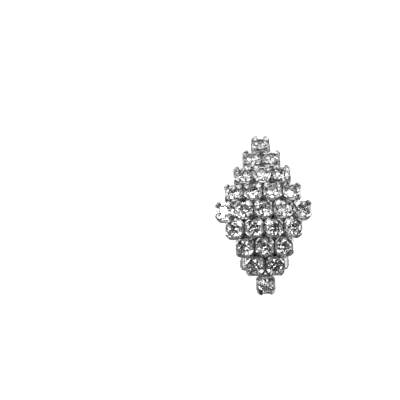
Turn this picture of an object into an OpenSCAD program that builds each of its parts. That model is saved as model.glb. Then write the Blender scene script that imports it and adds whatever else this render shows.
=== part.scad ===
// Clip-on earring: a domed diamond of four-prong cups with cut stones, on a hinged ear clip.
// The face looks up, row 1 is at +Y, and the earring lies on the flat back of its clip lever at z = 0.

/* [Layout] */
// Number of cups in the middle and longest row
longest_row = 5; // [4:1:5]
// Distance from cup to cup along a row
cup_pitch = 3.86; // [3.8:0.02:3.9]
// Distance from row to row
row_pitch = 3.8; // [3.7:0.05:3.85]
// Radius of the dome from end to end, through the stones' girdles
dome_r_long = 31; // [29:0.5:34]
// Radius of the dome across the rows
dome_r_across = 48; // [44:1:60]
// How far hand soldering tips each cup, in degrees
cup_tip = 1.4; // [0:0.1:1.6]
// How far hand soldering turns each cup about its own axis, in degrees
cup_turn = 2.2; // [0:0.1:2.5]

/* [Stones] */
// Diameter of each stone at its girdle
stone_d = 2.8; // [2.7:0.05:2.85]
// Diameter of the eight-sided table across its corners
table_d = 1.62; // [1.4:0.02:1.8]
// Height of the crown above the girdle
crown_h = 0.42; // [0.36:0.01:0.46]
// Thickness of the girdle
girdle_t = 0.08; // [0.06:0.01:0.12]
// Depth of the pavilion below the girdle
pavilion_h = 1.18; // [1.05:0.01:1.2]
// Gap left between a stone and its cup
stone_gap = 0.05; // [0.04:0.01:0.07]

/* [Cups] */
// Width of a cup across its walls
cup_w = 3.46; // [3.4:0.02:3.5]
// Width of the foot by which each cup is soldered to the next
foot_w = 3.83; // [3.81:0.01:3.86]
// Diameter that rounds the four corners of a cup
corner_d = 4.3; // [4.2:0.05:4.4]
// Depth of a cup below the girdle
cup_depth = 1.65; // [1.6:0.01:1.75]
// Height of the solder foot
foot_h = 0.75; // [0.6:0.05:0.9]
// How far below the girdle the walls end between the prongs
wall_drop = 0.2; // [0.12:0.01:0.3]
// Diameter of each corner prong, seen from above
prong_d = 1.3; // [1.2:0.02:1.4]
// Distance of each prong's middle from the stone's axis
prong_at = 1.74; // [1.7:0.01:1.78]
// Width of a cup over its prongs
prongs_w = 3.62; // [3.56:0.01:3.66]
// Height of the prongs above the girdle
prong_h = 0.7; // [0.62:0.01:0.76]
// How much the hand-bent prongs of one earring differ in size, as a share
prong_spread = 0.09; // [0:0.01:0.1]
// Diameter of the stamped dimple under each cup
dimple_d = 1.3; // [0.8:0.1:1.6]
// Depth of that dimple
dimple_h = 0.12; // [0.05:0.01:0.15]

/* [Clip] */
// Thickness of the base plate that is soldered behind the dome
plate_t = 0.7; // [0.6:0.05:0.9]
// Width of the base plate over its hinge ears
plate_w = 9.2; // [9:0.1:9.6]
// Outer radius of the bends where the ears turn back from the plate
bend_r = 1; // [0.8:0.1:1.2]
// Lower end of the base plate, from the dome's centre
plate_low_y = -11.7; // [-11.9:0.1:-11.3]
// Upper end of the base plate, from the dome's centre
plate_high_y = 6; // [5.5:0.1:7]
// Hinge axis from the dome's centre, along the face
hinge_y = -8.6; // [-8.8:0.1:-8.4]
// Hinge axis behind the girdle of the middle stone
hinge_drop = 8.8; // [8.6:0.1:9]
// Thickness of each hinge ear
ear_t = 0.7; // [0.6:0.05:0.8]
// Radius of each ear's round end
ear_r = 1.2; // [1.1:0.05:1.25]
// Radius of the knuckle curled round the pin
knuckle_r = 1.3; // [1.25:0.05:1.4]
// Radius of the hinge pin
pin_r = 0.5; // [0.45:0.01:0.52]
// Thickness of the lever's sheet
lever_t = 0.8; // [0.7:0.05:0.9]
// Width of the lever
lever_w = 7.4; // [7:0.1:7.6]
// Length of the lever's flat back, from the hinge
leaf_len = 9.0; // [8.5:0.1:9.5]

/* [Hidden] */
row_count = 2 * longest_row - 1;
row_angle = row_pitch / dome_r_long * 180 / PI;
place_angle = cup_pitch / dome_r_across * 180 / PI;

function cups_in(row) = longest_row - abs(longest_row - row);
function stone_name(row, place) = str("stone_", row, "_", place);

STONES = [for (row = [1:row_count], place = [1:cups_in(row)]) [row, place]];

$fn = 48;
fuse = 0.2;         // how deep soldered pieces run into each other
past = 1;           // how far a cutting shape runs past what it cuts
play = 0.05;        // radial play of the lever on its pin
pin_fit = 0.01;     // radial gap of the pin in the ears
toe_gap = 0.1;      // height of the top cup's foot above the surface that the lever lies on
knuckle_gap = 0.06; // height of the knuckle above that surface
hinge_z = knuckle_r + knuckle_gap;
colour_metal = "silver";
colour_stone = "azure";

stone_r = stone_d / 2;
table_r = table_d / 2;
star_r = 0.79 * stone_r;     // where the stars meet the kites
break_r = 0.34 * stone_r;    // where the pavilion mains part
half_step = 22.5;            // half of the angle between the eight main facets

prong_root = 0.75;           // how far below the girdle the prongs start
prong_proud = 0.06;          // how far they stand out from the cup's rounded corners
prong_fall = 0.16;           // how much lower a prong's tip is than its shoulder
shoulder_steps = 4;          // faces round that shoulder

table_z = girdle_t / 2 + crown_h;
culet_z = -girdle_t / 2 - pavilion_h;
star_z = table_z - crown_h * (star_r * cos(half_step) - table_r) / (stone_r - table_r);
break_z = culet_z + pavilion_h * break_r * cos(half_step) / stone_r;

// One point of a ring at radius r and height z
function at_angle(r, angle, z) = [r * cos(angle), r * sin(angle), z];
function rock(row, place) = rands(-1, 1, 3, 100 * row + place);

// The back edge of the top cup's foot meets the surface first, and sets how far the face is tilted
top_angle = (longest_row - 1) * row_angle;
toe_y = (dome_r_long - cup_depth) * sin(top_angle) + foot_w / 2 * cos(top_angle);
toe_z = -dome_r_long + (dome_r_long - cup_depth) * cos(top_angle) - foot_w / 2 * sin(top_angle);
toe_run = toe_y - hinge_y;
toe_rise = toe_z + hinge_drop;
face_tilt = atan2(toe_rise, toe_run) + asin((hinge_z - toe_gap) / norm([toe_run, toe_rise]));

function laid_y(y, z) = y * cos(face_tilt) + z * sin(face_tilt);
function laid_z(y, z) = -y * sin(face_tilt) + z * cos(face_tilt);

// Outermost points of the two end cups: the outer faces of their prongs
end_y = dome_r_long * sin(top_angle) + prongs_w / 2 * cos(top_angle);
end_z = dome_r_long * (cos(top_angle) - 1) - prongs_w / 2 * sin(top_angle);
face_shift = -(laid_y(end_y, end_z) + laid_y(-end_y, end_z)) / 2;
face_lift = hinge_z - laid_z(hinge_y, -hinge_drop);
hinge_at = laid_y(hinge_y, -hinge_drop) + face_shift;

plate_r = dome_r_long - cup_depth + fuse;    // outer face of the base plate
ear_end_r = norm([hinge_y, dome_r_long - hinge_drop]) - 1.5 * ear_r;    // clear of the ears' ends
large_fn = 180;      // faces round the plate's large curve
base_turn = 90;      // turn of the round band that the clip's base is cut from
plate_corner = 2;    // radius of the plate's four corners
lip_h = 0.15;        // how far the plate's edges turn down beside the ears
ear_root_low = plate_low_y + 0.4;    // where an ear's lower edge leaves the plate
ear_root_high = -4.8;                // where its upper edge does
ear_root_z = -3;     // where its upper edge starts, behind the girdle of the middle stone
ear_foot_z = -3.3;   // where its lower edge starts
ear_foot_h = 0.9;    // how far that edge runs straight down

rise_r = 1.6;        // inner radius where the lever turns up
rise_turn = 68;
rise_len = 1.3;
pad_r = 1.5;         // inner radius where it turns over into the pad
pad_turn = 94;
pad_len = 1.3;
pad_straight = 1.6;  // how far past its flat back the lever keeps its full width
pad_round_y = leaf_len + pad_straight;
pad_round_r = lever_w / 2 + 0.02;    // a little over half the width, so that the round end meets both sides
head_r = pin_r + 0.3;            // radius of the pin's heads
head_t = 0.28;                   // thickness of the pin's heads
head_gap = 0.04;                 // gap between a head and its ear
bend_steps = 8;      // faces round each bend

// Carries the face from its own frame, centre stone at the origin, to the way it lies on its clip
module laid_down() {
    translate([0, face_shift, face_lift]) rotate([-face_tilt, 0, 0]) children();
}

// Puts something made at the origin, facing +Z, in its place on the dome
module on_dome(row, place) {
    climb = (longest_row - row) * row_angle;
    swing = (place - (cups_in(row) + 1) / 2) * place_angle;
    r = rock(row, place);
    laid_down()
        translate([0, 0, -dome_r_long]) rotate([-climb, 0, 0])
        translate([0, 0, dome_r_long - dome_r_across]) rotate([0, swing, 0])
        translate([0, 0, dome_r_across]) rotate([r[0] * cup_tip, r[1] * cup_tip, r[2] * cup_turn])
        children();
}

// A round brilliant: table, 8 stars, 8 kites, 16 upper and 16 lower girdle facets, 8 mains
module brilliant() {
    table = [for (k = [0:7]) at_angle(table_r, 45 * k, table_z)];
    stars = [for (k = [0:7]) at_angle(star_r, 45 * k + half_step, star_z)];
    upper = [for (k = [0:15]) at_angle(stone_r, half_step * k, girdle_t / 2)];
    lower = [for (k = [0:15]) at_angle(stone_r, half_step * k, -girdle_t / 2)];
    breaks = [for (k = [0:7]) at_angle(break_r, 45 * k + half_step, break_z)];
    points = concat(table, stars, upper, lower, breaks, [[0, 0, culet_z]]);
    s = len(table);         // first star point
    u = s + len(stars);     // first upper girdle point
    l = u + len(upper);     // first lower girdle point
    b = l + len(lower);     // first break point
    culet = b + len(breaks);
    faces = concat(
        [[for (k = [7:-1:0]) k]],
        [for (k = [0:7]) [k, (k + 1) % 8, s + k]],
        [for (k = [0:7]) [k, s + k, u + 2 * k, s + (k + 7) % 8]],
        [for (k = [0:7]) [s + k, u + 2 * k + 1, u + 2 * k]],
        [for (k = [0:7]) [s + k, u + (2 * k + 2) % 16, u + 2 * k + 1]],
        [for (k = [0:15]) [u + k, u + (k + 1) % 16, l + (k + 1) % 16, l + k]],
        [for (k = [0:7]) [b + k, l + 2 * k, l + 2 * k + 1]],
        [for (k = [0:7]) [b + k, l + 2 * k + 1, l + (2 * k + 2) % 16]],
        [for (k = [0:7]) [culet, b + (k + 7) % 8, l + 2 * k, b + k]]
    );
    polyhedron(points, faces);
}

// Everything a stone needs clear of metal: the stone and its gap
module stone_room() {
    g = stone_gap;
    drop = g * norm([stone_r, pavilion_h]) / stone_r;
    edge = girdle_t / 2 + g;
    rotate_extrude() polygon([
        [0, culet_z - drop],
        [break_r, break_z - drop],
        [stone_r + g, -edge],
        [stone_r + g, edge],
        [star_r + g, star_z + g],
        [table_r, table_z + g],
        [0, table_z + g]
    ]);
}

// A squarish block with rounded corners, from z = low to z = high
module rounded_block(width, low, high) {
    translate([0, 0, low]) linear_extrude(high - low) intersection() {
        square(width, center = true);
        circle(d = corner_d);
    }
}

// Side section of the ring that the four prongs are cut from, round the stone's axis
module prong_section() {
    out_r = corner_d / 2 + prong_proud;
    in_r = prong_at - prong_d / 2 * (1 + prong_spread) - prong_proud;
    shoulder = out_r - prong_at;
    polygon(concat(
        [[in_r, -prong_root], [out_r, -prong_root]],
        arc([out_r - shoulder, prong_h - shoulder], shoulder, 0, 90, shoulder_steps),
        [[in_r, prong_h - prong_fall]]
    ));
}

// The four rounded prongs of a cup, bent in over the crown, each a little wider or narrower
module prongs(row, place) {
    spread = rands(-prong_spread, prong_spread, 4, 500 + 10 * row + place);
    intersection() {
        translate([0, 0, -prong_root]) linear_extrude(prong_root + prong_h) intersection() {
            square(prongs_w, center = true);
            for (k = [0:3])
                rotate(45 + 90 * k) translate([prong_at, 0]) circle(d = prong_d * (1 + spread[k]));
        }
        rotate_extrude() prong_section();
    }
}

// A cup with its prongs, its seat cut and its foot dimpled
module cup(row, place) {
    difference() {
        union() {
            rounded_block(foot_w, -cup_depth, -cup_depth + foot_h);
            rounded_block(cup_w, -cup_depth + foot_h / 2, -wall_drop);
            prongs(row, place);
        }
        stone_room();
        translate([0, 0, -cup_depth - dimple_h]) cylinder(d = dimple_d, h = 2 * dimple_h);
    }
}

// Outline of the base plate from the front
module plate_outline() {
    half = plate_w / 2;
    long = plate_high_y - plate_low_y;
    translate([-half + plate_corner, plate_low_y]) square([plate_w - 2 * plate_corner, long]);
    translate([-half, plate_low_y + plate_corner]) square([plate_w, long - 2 * plate_corner]);
    for (x = [-1, 1], y = [plate_low_y + plate_corner, plate_high_y - plate_corner])
        translate([x * (half - plate_corner), y]) circle(plate_corner);
}

// Section across the clip base: the plate with an ear turned back at each side, outside to +X
module channel_section() {
    half = plate_w / 2;
    long = plate_r - ear_end_r;
    difference() {
        union() {
            translate([ear_end_r, -half]) square([long - bend_r, plate_w]);
            translate([ear_end_r, -half + bend_r]) square([long, plate_w - 2 * bend_r]);
            for (x = [-1, 1]) translate([plate_r - bend_r, x * (half - bend_r)]) circle(bend_r);
        }
        translate([ear_end_r - past, -half + ear_t]) square([long + past - plate_t, plate_w - 2 * ear_t]);
    }
}

// Side view of the clip base: the plate's band with its lip, and the outline of an ear
module channel_outline() {
    difference() {
        translate([-dome_r_long, -dome_r_long]) square([2 * dome_r_long, dome_r_long]);
        translate([0, -dome_r_long]) circle(plate_r - plate_t - lip_h, $fn = large_fn);
    }
    translate([hinge_y, -hinge_drop]) circle(ear_r);
    polygon([
        [hinge_y - ear_r, -hinge_drop],
        [hinge_y + ear_r, -hinge_drop],
        [ear_root_high, ear_root_z],
        [ear_root_low, ear_foot_z],
        [ear_root_low, ear_foot_z - ear_foot_h]
    ]);
}

// The clip's base: a bent plate behind the dome whose two hinge ears turn back from it
module clip_base() {
    intersection() {
        translate([0, 0, -dome_r_long]) rotate([0, 90, 0]) rotate([0, 0, 180 - base_turn / 2])
            rotate_extrude(angle = base_turn, $fn = large_fn) channel_section();
        translate([0, 0, -hinge_drop - ear_r]) linear_extrude(hinge_drop + ear_r) plate_outline();
        translate([-plate_w, 0, 0]) rotate([90, 0, 90]) linear_extrude(2 * plate_w) channel_outline();
    }
}

// All the soldered metal of the front
module setting() {
    color(colour_metal) difference() {
        union() {
            for (s = STONES) on_dome(s[0], s[1]) cup(s[0], s[1]);
            laid_down() clip_base();
        }
        laid_down() translate([0, hinge_y, -hinge_drop]) rotate([0, 90, 0])
            cylinder(r = pin_r + pin_fit, h = plate_w + 2 * past, center = true);
    }
}

module stone(row, place) {
    turn = rands(0, 45, 1, 900 + 10 * row + place)[0];
    color(colour_stone) on_dome(row, place) rotate([0, 0, turn]) brilliant();
}

// Points on an arc round a centre, from one angle to another
function arc(centre, r, from, to, steps = bend_steps) =
    [for (k = [0:steps]) let (a = from + (to - from) * k / steps) centre + r * [cos(a), sin(a)]];

// Side view of the lever's sheet, hinge at y = 0 and flat back at z = 0: leaf, rise and turned-over pad
function leaf_outline() = let (
    up = [cos(rise_turn), sin(rise_turn)],
    last_turn = rise_turn - pad_turn,
    last = [cos(last_turn), sin(last_turn)],
    rise_centre = [leaf_len, lever_t + rise_r],
    pad_centre = rise_centre + (lever_t + rise_r + pad_r) * [up[1], -up[0]] + rise_len * up,
    tip_centre = pad_centre + (pad_r + lever_t / 2) * [-last[1], last[0]] + pad_len * last
) concat(
    [[0, 0]],
    arc(rise_centre, rise_r + lever_t, -90, rise_turn - 90),
    arc(pad_centre, pad_r, rise_turn + 90, last_turn + 90),
    arc(tip_centre, lever_t / 2, last_turn - 90, last_turn + 90),
    arc(pad_centre, pad_r + lever_t, last_turn + 90, rise_turn + 90),
    arc(rise_centre, rise_r, rise_turn - 90, -90),
    [[0, lever_t]]
);

// Turns an upright piece to lie along the hinge axis
module along_hinge() {
    translate([0, 0, hinge_z]) rotate([0, 90, 0]) children();
}

module clip_lever() {
    color(colour_metal) translate([0, hinge_at, 0]) difference() {
        union() {
            along_hinge() cylinder(r = knuckle_r, h = lever_w, center = true);
            intersection() {
                translate([-lever_w / 2, 0, 0]) rotate([90, 0, 90])
                    linear_extrude(lever_w) polygon(leaf_outline());
                translate([0, 0, -past]) linear_extrude(hinge_drop) union() {
                    translate([-lever_w, -past]) square([2 * lever_w, pad_round_y + past]);
                    translate([0, pad_round_y]) circle(pad_round_r);
                }
            }
        }
        along_hinge() cylinder(r = pin_r + play, h = lever_w + 2 * past, center = true);
    }
}

// A headed pin, symmetrical about x = 0
module hinge_pin() {
    half = plate_w / 2 + head_gap;
    bevel = 0.65 * head_t;
    color(colour_metal) translate([0, hinge_at, 0]) along_hinge() rotate_extrude() polygon([
        [0, -half - head_t],
        [head_r - bevel, -half - head_t],
        [head_r, -half - head_t + bevel],
        [head_r, -half],
        [pin_r, -half],
        [pin_r, half],
        [head_r, half],
        [head_r, half + head_t - bevel],
        [head_r - bevel, half + head_t],
        [0, half + head_t]
    ]);
}

setting();
clip_lever();
hinge_pin();
for (s = STONES) stone(s[0], s[1]);
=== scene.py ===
import math
from collections import namedtuple

import bpy
from mathutils import Matrix, Vector


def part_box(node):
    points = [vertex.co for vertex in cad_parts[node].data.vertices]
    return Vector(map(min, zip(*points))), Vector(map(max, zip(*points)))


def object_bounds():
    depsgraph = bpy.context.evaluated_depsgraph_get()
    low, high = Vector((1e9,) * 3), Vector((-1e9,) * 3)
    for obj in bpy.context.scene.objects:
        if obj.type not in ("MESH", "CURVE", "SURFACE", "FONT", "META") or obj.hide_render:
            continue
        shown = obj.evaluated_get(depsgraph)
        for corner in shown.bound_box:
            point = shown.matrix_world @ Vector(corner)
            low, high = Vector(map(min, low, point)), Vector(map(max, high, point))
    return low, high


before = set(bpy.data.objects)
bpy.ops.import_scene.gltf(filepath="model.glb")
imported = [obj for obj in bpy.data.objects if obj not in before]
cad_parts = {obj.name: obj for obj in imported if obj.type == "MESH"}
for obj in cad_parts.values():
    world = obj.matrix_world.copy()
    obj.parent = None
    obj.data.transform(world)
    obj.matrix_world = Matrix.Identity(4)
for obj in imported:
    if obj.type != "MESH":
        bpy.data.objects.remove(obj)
cad_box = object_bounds()

STONES = [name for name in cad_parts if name.startswith("stone_")]

# The photograph's frame: pixels a side, pixels a metre at the earring, and the earring's middle in pixels
PHOTO_SIDE = 400
PHOTO_SCALE = 5050
PHOTO_MIDDLE = (263.2, 214.8)

# The camera: angle over the floor, turn about its own axis, distance, the nearest and farthest that it sees,
# and the width of its sensor in millimetres
CAMERA_ELEVATION = math.radians(83.0)
CAMERA_ROLL = math.radians(1.7)
CAMERA_DISTANCE = 0.6
CAMERA_REACH = (0.01, 10)
SENSOR = 36.0

# Noise textures: cells a metre, detail and distortion
Noise = namedtuple("Noise", "cells detail distortion")
GRAIN = Noise(2600, 3, 0.0)
CLOUDS = Noise(420, 4, 0.6)
FLECKS = Noise(2800, 2, 0.4)
POLISH = Noise(3000, 2, 0.0)
SPECKS = Noise(2200, 3, 0.0)

# Metals: grey of the open plating, of its crevices and of its tarnish, how rough and how uneven it is, and
# how much less its open faces are flecked than its crevices; the crevices' grey and extra flecks are painted
# shade
Finish = namedtuple("Finish", "plating crevice tarnish roughness unevenness clean")
CUPS = Finish(0.62, 0.6, 0.03, 0.24, 0.08, 0.18)
# The prongs' plating is a darker copy of the cups': painted shade that tones down how brightly the lamps
# light them
PRONGS = Finish(0.58, 0.6, 0.03, 0.24, 0.08, 0.05)
CLIP = Finish(0.66, 0.4, 0.12, 0.2, 0.06, 0.4)

# How far off a wall still shuts a crevice in, the shares of open sky at which metal is shut in and is free,
# and how many rays tell that share; this ambient occlusion paints the crevices' shade into the metal's colour
CREVICE_REACH = 0.0009
SHUT_IN = 0.3
FREE = 0.75
SHADE_SAMPLES = 8

# Where dark flecks begin and are full: tarnish noise, lowered on open faces, so the crevices get painted
# shade;
# the same for the faint clouds of tarnish, and how much of the tarnish's grey a full cloud takes on
FLECK_EDGE = (0.46, 0.54)
CLOUD_EDGE = (0.35, 0.75)
CLOUD_DEPTH = 0.35

# Noise values at which the plating is smoothest and roughest, and how rough it then is, as shares of its own
# roughness
SHEEN_EDGE = (0.3, 0.7)
SHEEN_SHARES = (0.4, 1.2)

# The plating's waves, and the small flat cells that its surface is broken into: cells a metre and their tilt
WAVE_STRENGTH = 0.8
WAVE_HEIGHT = 0.0003
PLATING_CELLS = 1300
PLATING_TILT = 0.45

# A cell's tilt comes from its random colour, which is this on average
MEAN_COLOUR = (0.5, 0.5, 0.5)

# Crystal: how far it bends light, and its faint polishing marks
CRYSTAL_IOR = 1.6
POLISH_EDGE = (0.4, 0.7)
POLISH_ROUGHNESS = 0.02
POLISH_STRENGTH = 0.02
POLISH_HEIGHT = 0.00002

# Mirror foil: its grey when bright and when aged, and how rough and how uneven it lies
FOIL_BRIGHT = 0.88
FOIL_AGED = 0.1
FOIL_AGE_EDGE = (0.6, 0.72)
FOIL_SHEEN_EDGE = (0.5, 0.75)
FOIL_ROUGHNESS = (0.02, 0.2)
FOIL_CELLS = 1200
FOIL_TILT = 0.06

# A stone's slots, and how far down a facet faces, as a cosine, before foil backs it
CLEAR_SLOT = 0
FOIL_SLOT = 1
FOIL_FACING = -0.2

# The setting's slots, and what tells its metals apart: how far below a stone's table the prongs start, how
# far behind the stones the clip's base starts, half the width of that base, and the stones that tell the
# dome's circle
CUP_SLOT = 0
CLIP_SLOT = 1
PRONG_SLOT = 2
PRONG_BELOW_TABLE = 0.0005
CLIP_BEHIND = 0.0016
CLIP_HALF = 0.0048
DOME_STONES = ("stone_1_1", "stone_5_3", "stone_9_1")

# The floor is a lit table, so that it stays white: half its side, its finish, and what it gives off by itself
# near the earring and far from it, with the distances at which that change begins and ends
FLOOR_HALF = 1.5
FLOOR_GREY = 0.93
FLOOR_ROUGHNESS = 0.9
FLOOR_GLOW = (0.6, 0.82)
GLOW_REACH = (0.15, 0.6)

# Softboxes round the earring: azimuth 0 stands on the -Y side and 90 on the +X side
LIGHT_DISTANCE = 0.5
SOFTBOXES = [
    # name, azimuth, elevation, width, height, brightness
    ("back_low", 180, 20, 0.50, 0.12, 1.9),
    ("back_mid", 184, 40, 0.14, 0.08, 5.0),
    ("back_left", -143, 48, 0.20, 0.20, 1.9),
    ("back_right", 147, 50, 0.20, 0.18, 1.9),
    ("back_left_low", -138, 24, 0.30, 0.14, 2.2),
    ("back_right_low", 138, 24, 0.30, 0.14, 2.2),
    ("left_high", -86, 62, 0.20, 0.16, 5.5),
    ("left_low", -98, 24, 0.34, 0.16, 3.0),
    ("right_high", 92, 60, 0.20, 0.16, 5.5),
    ("right_low", 84, 22, 0.34, 0.16, 3.0),
    ("front_left", -36, 42, 0.18, 0.16, 1.8),
    ("front_right", 30, 38, 0.16, 0.16, 2.2),
    ("front_mid", -6, 60, 0.10, 0.08, 1.1),
]

# The small lamps that make the stones sparkle, spread evenly over a round patch of the ceiling: how many, how
# far out they reach in degrees, how far the patch leans towards +Y, and each one's side and brightness
LAMP_COUNT = 34
LAMP_SPREAD = 44
LAMP_LEAN = 34
LAMP_SIZE = 0.03
LAMP_BRIGHTNESS = 3.2
GOLDEN_ANGLE = 137.5

# The lamp whose mirror image whitens one stone
GLINT_STONE = "stone_5_1"
GLINT_SIZE = 0.03
GLINT_BRIGHTNESS = 40

# The studio's walls: height over the horizon, as a sine, and brightness
SKY = [(-0.95, 0.2), (-0.6, 0.7), (-0.04, 0.9), (0.05, 0.9), (0.14, 0.4), (0.35, 0.04)]


def make_camera():
    """The camera stands where the photograph's did: almost over the face, towards the bottom stone."""
    data = bpy.data.cameras.new("camera")
    data.sensor_width = SENSOR
    data.lens = SENSOR * CAMERA_DISTANCE * PHOTO_SCALE / PHOTO_SIDE
    data.clip_start, data.clip_end = CAMERA_REACH
    camera = bpy.data.objects.new("camera", data)
    bpy.context.scene.collection.objects.link(camera)
    back = Vector((0, -math.cos(CAMERA_ELEVATION), math.sin(CAMERA_ELEVATION)))
    turn = (-back).to_track_quat("-Z", "Y").to_matrix() @ Matrix.Rotation(-CAMERA_ROLL, 3, "Z")
    right, up = turn.col[0], turn.col[1]
    middle = (cad_box[0] + cad_box[1]) / 2
    off_x = (PHOTO_MIDDLE[0] - PHOTO_SIDE / 2) / PHOTO_SCALE
    off_y = (PHOTO_SIDE / 2 - PHOTO_MIDDLE[1]) / PHOTO_SCALE
    aim = middle - right * off_x - up * off_y
    camera.matrix_world = Matrix.Translation(aim + back * CAMERA_DISTANCE) @ turn.to_4x4()
    bpy.context.scene.camera = camera
    return camera


def rgba(grey):
    return (grey, grey, grey, 1)


class Tree:
    """The node tree of a material or of the world, with the few kinds of node that the looks are made of."""

    def __init__(self, owner):
        owner.use_nodes = True
        self.nodes = owner.node_tree.nodes
        self.links = owner.node_tree.links

    def give(self, socket, value):
        """A socket gets a value, or the output of another node."""
        if isinstance(value, bpy.types.NodeSocket):
            self.links.new(value, socket)
        else:
            socket.default_value = value

    def feed(self, node, inputs):
        for key, value in inputs.items():
            self.give(node.inputs[key], value)

    def add(self, kind, inputs):
        node = self.nodes.new(kind)
        self.feed(node, inputs)
        return node

    def work_out(self, kind, operation, inputs):
        """A node that does sums on numbers or vectors."""
        node = self.nodes.new(kind)
        node.operation = operation
        self.feed(node, inputs)
        return node

    def place(self):
        """A point's place in the object's own space."""
        return self.nodes.new("ShaderNodeTexCoord").outputs["Object"]

    def noise(self, kind):
        inputs = {"Scale": kind.cells, "Detail": kind.detail, "Distortion": kind.distortion}
        return self.add("ShaderNodeTexNoise", {"Vector": self.place(), **inputs}).outputs["Fac"]

    def remap(self, value, low, high, to_low=0.0, to_high=1.0):
        """Values from low to high become to_low to to_high, held at both ends."""
        inputs = {"Value": value, "From Min": low, "From Max": high, "To Min": to_low, "To Max": to_high}
        return self.add("ShaderNodeMapRange", inputs).outputs["Result"]

    def blend(self, share, first, second):
        """From the first grey, at a share of 0, to the second; each is a number or the output of a node."""
        node = self.nodes.new("ShaderNodeMix")
        node.data_type = "RGBA"
        self.feed(node, {"Factor": share})
        sockets = [i for i in node.inputs if i.type == "RGBA"]
        for socket, value in zip(sockets, (first, second)):
            self.give(socket, rgba(value) if isinstance(value, float) else value)
        return [o for o in node.outputs if o.type == "RGBA"][0]

    def bump(self, height, strength, distance):
        inputs = {"Height": height, "Strength": strength, "Distance": distance}
        return self.add("ShaderNodeBump", inputs).outputs["Normal"]

    def vector(self, operation, inputs):
        return self.work_out("ShaderNodeVectorMath", operation, inputs).outputs["Vector"]

    def tilted_cells(self, cells, tilt, below):
        """Normals of a surface broken into small flat cells, each tilted its own way off the one below."""
        mosaic = self.add("ShaderNodeTexVoronoi", {"Vector": self.place(), "Scale": cells})
        centred = self.vector("SUBTRACT", {0: mosaic.outputs["Color"], 1: MEAN_COLOUR})
        lean = self.vector("SCALE", {0: centred, "Scale": tilt})
        return self.vector("NORMALIZE", {0: self.vector("ADD", {0: below, 1: lean})})


def new_material(name):
    material = bpy.data.materials.new(name)
    tree = Tree(material)
    return material, tree, tree.nodes["Principled BSDF"]


def metal(name, finish):
    """Bright plating over stamped metal with flecks of tarnish; its crevices get painted shade: dull, with
    more flecks.
    """
    material, tree, shader = new_material(name)
    grain = tree.noise(GRAIN)
    # Ambient occlusion paints shade: crevices turn a dull grey that is not metallic, and gather more dark
    # flecks
    shade = tree.add("ShaderNodeAmbientOcclusion", {"Distance": CREVICE_REACH})
    shade.samples = SHADE_SAMPLES
    open_share = tree.remap(shade.outputs["AO"], SHUT_IN, FREE)
    inputs = {0: open_share, 1: -finish.clean, 2: tree.noise(FLECKS)}
    flecks_and_shade_sum = tree.work_out("ShaderNodeMath", "MULTIPLY_ADD", inputs)
    flecks_and_shade = tree.remap(flecks_and_shade_sum.outputs["Value"], *FLECK_EDGE)
    cloud = tree.remap(tree.noise(CLOUDS), *CLOUD_EDGE, 0.0, CLOUD_DEPTH)
    worn = tree.blend(cloud, finish.plating, finish.tarnish)
    ground = tree.blend(open_share, finish.crevice, worn)
    smoothest, roughest = (share * finish.roughness for share in SHEEN_SHARES)
    waves = tree.bump(grain, WAVE_STRENGTH, finish.unevenness * WAVE_HEIGHT)
    tree.feed(shader, {
        "Base Color": tree.blend(flecks_and_shade, ground, finish.tarnish),
        "Metallic": open_share,
        "Roughness": tree.remap(grain, *SHEEN_EDGE, smoothest, roughest),
        "Normal": tree.tilted_cells(PLATING_CELLS, finish.unevenness * PLATING_TILT, waves),
    })
    return material


def glass():
    """Clear cut crystal with faint polishing marks on its facets."""
    material, tree, shader = new_material("crystal")
    polish = tree.noise(POLISH)
    tree.feed(shader, {
        "Base Color": rgba(1),
        "IOR": CRYSTAL_IOR,
        "Transmission Weight": 1,
        "Roughness": tree.remap(polish, *POLISH_EDGE, 0.0, POLISH_ROUGHNESS),
        "Normal": tree.bump(polish, POLISH_STRENGTH, POLISH_HEIGHT),
    })
    return material


def foil():
    """Mirror foil behind a stone, with a few specks where it has aged."""
    material, tree, shader = new_material("mirror_foil")
    specks = tree.noise(SPECKS)
    flat = tree.nodes.new("ShaderNodeNewGeometry").outputs["Normal"]
    tree.feed(shader, {
        "Base Color": tree.blend(tree.remap(specks, *FOIL_AGE_EDGE), FOIL_BRIGHT, FOIL_AGED),
        "Metallic": 1,
        "Roughness": tree.remap(specks, *FOIL_SHEEN_EDGE, *FOIL_ROUGHNESS),
        "Normal": tree.tilted_cells(FOIL_CELLS, FOIL_TILT, flat),
    })
    return material


def put_on(name, *materials):
    """A piece gets these materials, in slots 0, 1 and so on."""
    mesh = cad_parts[name].data
    mesh.materials.clear()
    for material in materials:
        mesh.materials.append(material)
    return mesh


def stone_table(name):
    """Middle and outward direction of a stone's table, its largest facet."""
    table = max(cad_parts[name].data.polygons, key=lambda p: p.area)
    return table.center.copy(), table.normal.copy()


def dress_stones():
    """Clear glass above, mirror foil on the facets that face down into the cup."""
    clear, backing = glass(), foil()
    for name in STONES:
        mesh = put_on(name, clear, backing)
        _, up = stone_table(name)
        for polygon in mesh.polygons:
            polygon.use_smooth = False
            polygon.material_index = FOIL_SLOT if polygon.normal.dot(up) < FOIL_FACING else CLEAR_SLOT


def stone_middle(name):
    low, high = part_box(name)
    return (Vector(low) + Vector(high)) / 2


def dome_circle():
    """Centre and radius, in the YZ plane, of the circle through the first, middle and last stone."""
    (ay, az), (by, bz), (cy, cz) = (stone_middle(name).yz for name in DOME_STONES)
    a, b, c = ay * ay + az * az, by * by + bz * bz, cy * cy + cz * cz
    twice = 2 * (ay * (bz - cz) + by * (cz - az) + cy * (az - bz))
    y = (a * (bz - cz) + b * (cz - az) + c * (az - bz)) / twice
    z = (a * (cy - by) + b * (ay - cy) + c * (by - ay)) / twice
    return y, z, math.hypot(ay - y, az - z)


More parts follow.
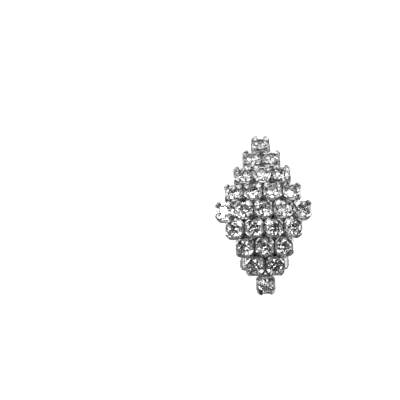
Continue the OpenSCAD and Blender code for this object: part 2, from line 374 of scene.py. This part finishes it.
def setting_slot(middle, tables, circle):
    """Whether a face of the setting with this middle is part of a prong, of the clip's base or of a cup."""
    table, up = min(tables, key=lambda t: (t[0] - middle).length_squared)
    if (middle - table).dot(up) > -PRONG_BELOW_TABLE:
        return PRONG_SLOT
    y, z, radius = circle
    if math.hypot(middle.y - y, middle.z - z) < radius - CLIP_BEHIND and abs(middle.x) < CLIP_HALF:
        return CLIP_SLOT
    return CUP_SLOT


def dress_metal():
    """Cups and prongs have their own platings, the prongs' darker as painted shade; lever, pin, base plate
    and ears the clip's.
    """
    cups, prongs, clip = metal("cup_metal", CUPS), metal("prong_metal", PRONGS), metal("clip_metal", CLIP)
    put_on("clip_lever", clip)
    put_on("hinge_pin", clip)
    circle = dome_circle()
    tables = [stone_table(name) for name in STONES]
    for polygon in put_on("setting", cups, clip, prongs).polygons:
        polygon.material_index = setting_slot(polygon.center, tables, circle)


def make_floor():
    """The white table, which the metal doesn't mirror, so that it mirrors the studio's walls all round."""
    half = FLOOR_HALF
    corners = [(-half, -half, 0), (half, -half, 0), (half, half, 0), (-half, half, 0)]
    mesh = bpy.data.meshes.new("floor")
    mesh.from_pydata(corners, [], [(0, 1, 2, 3)])
    floor = bpy.data.objects.new("floor", mesh)
    bpy.context.scene.collection.objects.link(floor)
    material, tree, shader = new_material("floor")
    away = tree.work_out("ShaderNodeVectorMath", "LENGTH", {0: tree.place()}).outputs["Value"]
    tree.feed(shader, {
        "Base Color": rgba(FLOOR_GREY),
        "Roughness": FLOOR_ROUGHNESS,
        "Emission Color": rgba(1),
        "Emission Strength": tree.remap(away, *GLOW_REACH, *FLOOR_GLOW),
    })
    mesh.materials.append(material)
    floor.visible_glossy = False


def heading(azimuth, elevation):
    """The direction of an azimuth and an elevation in degrees."""
    a, e = math.radians(azimuth), math.radians(elevation)
    return Vector((math.sin(a) * math.cos(e), -math.cos(a) * math.cos(e), math.sin(e)))


def softbox(name, direction, width, height, brightness):
    """A rectangular light aimed at the earring, whose face shines at the stated brightness."""
    data = bpy.data.lights.new(name, "AREA")
    data.shape = "RECTANGLE"
    data.size, data.size_y = width, height
    data.energy = brightness * math.pi * width * height
    lamp = bpy.data.objects.new(name, data)
    turn = (-direction).to_track_quat("-Z", "Y").to_matrix().to_4x4()
    lamp.matrix_world = Matrix.Translation(direction * LIGHT_DISTANCE) @ turn
    lamp.visible_camera = False
    bpy.context.scene.collection.objects.link(lamp)


def make_softboxes():
    for name, azimuth, elevation, width, height, brightness in SOFTBOXES:
        softbox(name, heading(azimuth, elevation), width, height, brightness)


def make_lamps():
    """Each lamp is a golden angle on from the last, as far out as gives it an equal share of the patch."""
    lean = Matrix.Rotation(-math.radians(LAMP_LEAN), 3, "X")
    for i in range(LAMP_COUNT):
        off = LAMP_SPREAD * math.sqrt((i + 0.5) / LAMP_COUNT)
        direction = lean @ heading(i * GOLDEN_ANGLE, 90 - off)
        softbox(f"lamp_{i}", direction, LAMP_SIZE, LAMP_SIZE, LAMP_BRIGHTNESS)


def make_glint(camera):
    """A small strong lamp that the table of one stone throws straight into the camera."""
    middle, up = stone_table(GLINT_STONE)
    to_camera = (camera.matrix_world.translation - middle).normalized()
    to_lamp = 2 * up.dot(to_camera) * up - to_camera
    softbox("glint", to_lamp, GLINT_SIZE, GLINT_SIZE, GLINT_BRIGHTNESS)


def make_sky():
    """The studio's walls, whose brightness changes with the height alone."""
    world = bpy.data.worlds.new("studio")
    bpy.context.scene.world = world
    tree = Tree(world)
    around = tree.nodes.new("ShaderNodeTexCoord").outputs["Generated"]
    height = tree.add("ShaderNodeSeparateXYZ", {"Vector": around}).outputs["Z"]
    low, high = SKY[0][0], SKY[-1][0]
    ramp = tree.add("ShaderNodeValToRGB", {"Fac": tree.remap(height, low, high)})
    for stop, _ in SKY[1:-1]:
        ramp.color_ramp.elements.new((stop - low) / (high - low))
    for element, (_, grey) in zip(ramp.color_ramp.elements, SKY):
        element.color = rgba(grey)
    tree.feed(tree.nodes["Background"], {"Color": ramp.outputs["Color"]})


camera = make_camera()
dress_stones()
dress_metal()
make_floor()
make_sky()
make_softboxes()
make_lamps()
make_glint(camera)
bpy.context.scene.view_settings.view_transform = "Standard"
